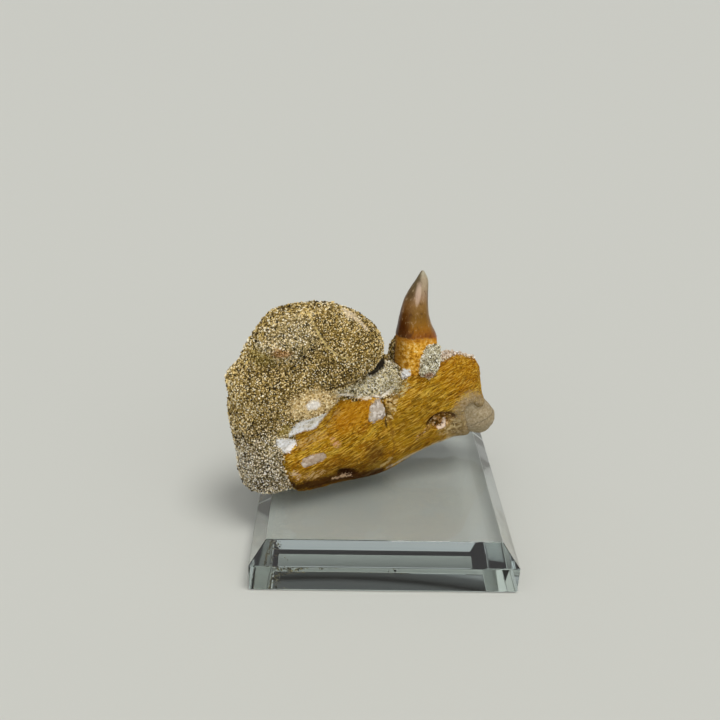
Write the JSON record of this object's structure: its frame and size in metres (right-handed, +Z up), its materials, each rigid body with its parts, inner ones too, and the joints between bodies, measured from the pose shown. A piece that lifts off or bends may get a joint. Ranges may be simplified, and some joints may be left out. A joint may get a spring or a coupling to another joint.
{
  "type": "fossil jaw with tooth on glass stand",
  "caption": "Broken length of fossil jaw with a standing conical tooth, half set in sandy rock, resting on a bevelled clear glass block.",
  "frame": {"origin": "centre of the glass stand's underside", "axes": "+Z up; -Y is the display side; +X to the right of someone who looks at the display side"},
  "size_m": [0.09, 0.08, 0.0825],
  "materials": {
    "clear_glass": "polished, faintly green at the edges",
    "sandy_matrix": "rough cemented sand",
    "jaw_bone": "satin, finely fibrous mineralised bone",
    "tooth": "glossy enamel over mottled root",
    "siltstone": "smooth matte",
    "pale_bone": "matte, fibrous",
    "grey_sand": "rough, gritty",
    "filler": "matte plaster"
  },
  "bodies": {
    "root": {"glass_stand": "clear_glass", "sandy_matrix": "sandy_matrix", "jaw_bone": "jaw_bone", "tooth": "tooth", "canal_infill": "siltstone", "pale_bone_fragment": "pale_bone", "socket_sand": "grey_sand", "filler_upper": "filler", "filler_left": "filler", "filler_lower": "filler"}
  },
  "joints": []
}
